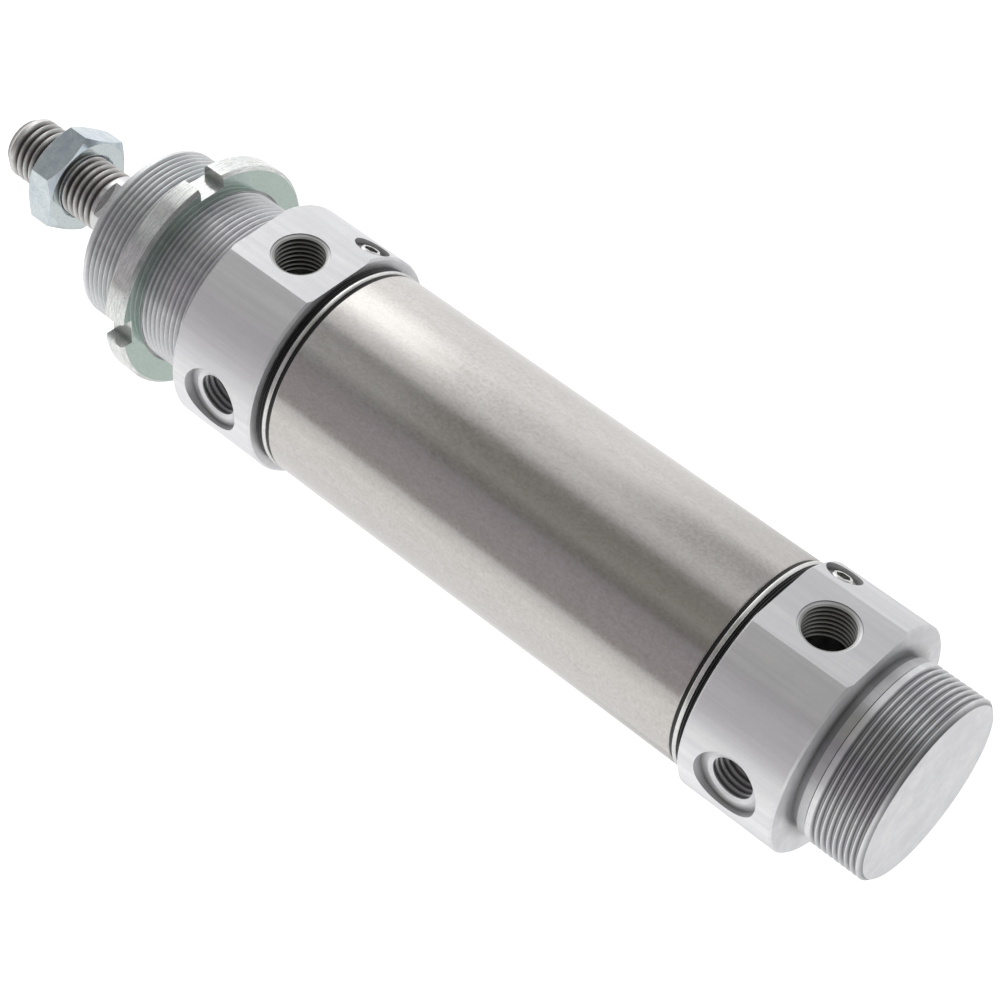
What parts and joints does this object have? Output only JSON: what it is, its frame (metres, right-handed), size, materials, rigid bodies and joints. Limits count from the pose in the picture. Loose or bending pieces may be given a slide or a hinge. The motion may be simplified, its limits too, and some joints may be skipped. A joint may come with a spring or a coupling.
{
  "type": "pneumatic cylinder",
  "caption": "Round double-acting air cylinder with a threaded nose, ring nut, cushioned heads with side air ports and a threaded piston rod with its locknut.",
  "frame": {"origin": "on the cylinder's axis, in the plane of the front head's mounting shoulder", "axes": "+X along the axis, the way the rod extends; +Z towards the air ports; +Y towards one row of side holes"},
  "size_m": [0.2752, 0.0582, 0.0582],
  "materials": {
    "head_aluminium": "fine turned and milled, satin",
    "barrel_steel": "satin stainless, drawn along the axis",
    "ring_steel": "bright turned",
    "seal_rubber": "black nitrile, matte",
    "bearing_bronze": "sintered bronze, dull",
    "screw_steel": "nickel plated",
    "guide_plastic": "PTFE compound",
    "rod_chrome": "hard chrome plated rod with a dark oily rolled thread",
    "piston_aluminium": "turned",
    "magnet_plastic": "plastic bonded magnet",
    "sleeve_brass": "turned brass",
    "nut_zinc": "blue passivated zinc",
    "ring_nut_zinc": "mottled passivated zinc"
  },
  "bodies": {
    "barrel": {"barrel_tube": "barrel_steel", "front_head": "head_aluminium", "rear_head": "head_aluminium", "front_lock_ring": "ring_steel", "rear_lock_ring": "ring_steel", "front_gap_ring": "seal_rubber", "rear_gap_ring": "seal_rubber", "front_backing_ring": "seal_rubber", "rear_backing_ring": "seal_rubber", "front_tube_oring": "seal_rubber", "rear_tube_oring": "seal_rubber", "front_cushion_seal": "seal_rubber", "rear_cushion_seal": "seal_rubber", "rod_seal": "seal_rubber", "rod_wiper": "seal_rubber", "rod_bushing": "bearing_bronze", "front_screw_bush": "screw_steel", "rear_screw_bush": "screw_steel"},
    "piston_seals": {"guide_band": "guide_plastic", "front_piston_seal": "seal_rubber", "rear_piston_seal": "seal_rubber"},
    "rod": {"piston_rod": "rod_chrome", "piston": "piston_aluminium", "magnet_ring": "magnet_plastic", "stud_oring": "seal_rubber", "front_bumper": "seal_rubber", "rear_bumper": "seal_rubber", "front_cushion_sleeve": "sleeve_brass", "rear_cushion_sleeve": "sleeve_brass", "piston_nut": "nut_zinc"},
    "ring_nut": {"ring_nut": "ring_nut_zinc"},
    "rod_nut": {"rod_nut": "nut_zinc"},
    "front_cushion_screw": {"front_cushion_screw": "screw_steel"},
    "rear_cushion_screw": {"rear_cushion_screw": "screw_steel"}
  },
  "joints": [
    {"name": "rod_slide", "type": "slide", "parent": "barrel", "child": "piston_seals", "axis": [1, 0, 0], "range_m": [0, 0.08]},
    {"name": "rod_spin", "type": "hinge", "parent": "piston_seals", "child": "rod", "pos_m": [0, 0, 0], "axis": [1, 0, 0], "continuous": true},
    {"name": "ring_nut_turn", "type": "hinge", "parent": "barrel", "child": "ring_nut", "pos_m": [0.019, 0, 0], "axis": [1, 0, 0], "continuous": true},
    {"name": "rod_nut_turn", "type": "hinge", "parent": "rod", "child": "rod_nut", "pos_m": [0.0636, 0, 0], "axis": [1, 0, 0], "continuous": true},
    {"name": "front_screw_turn", "type": "hinge", "parent": "barrel", "child": "front_cushion_screw", "pos_m": [-0.02, -0.01198, 0.01845], "axis": [0, -0.5446, 0.8387], "range_deg": [-450, 630]},
    {"name": "rear_screw_turn", "type": "hinge", "parent": "barrel", "child": "rear_cushion_screw", "pos_m": [-0.1554, -0.01198, 0.01845], "axis": [0, -0.5446, 0.8387], "range_deg": [-450, 630]}
  ]
}
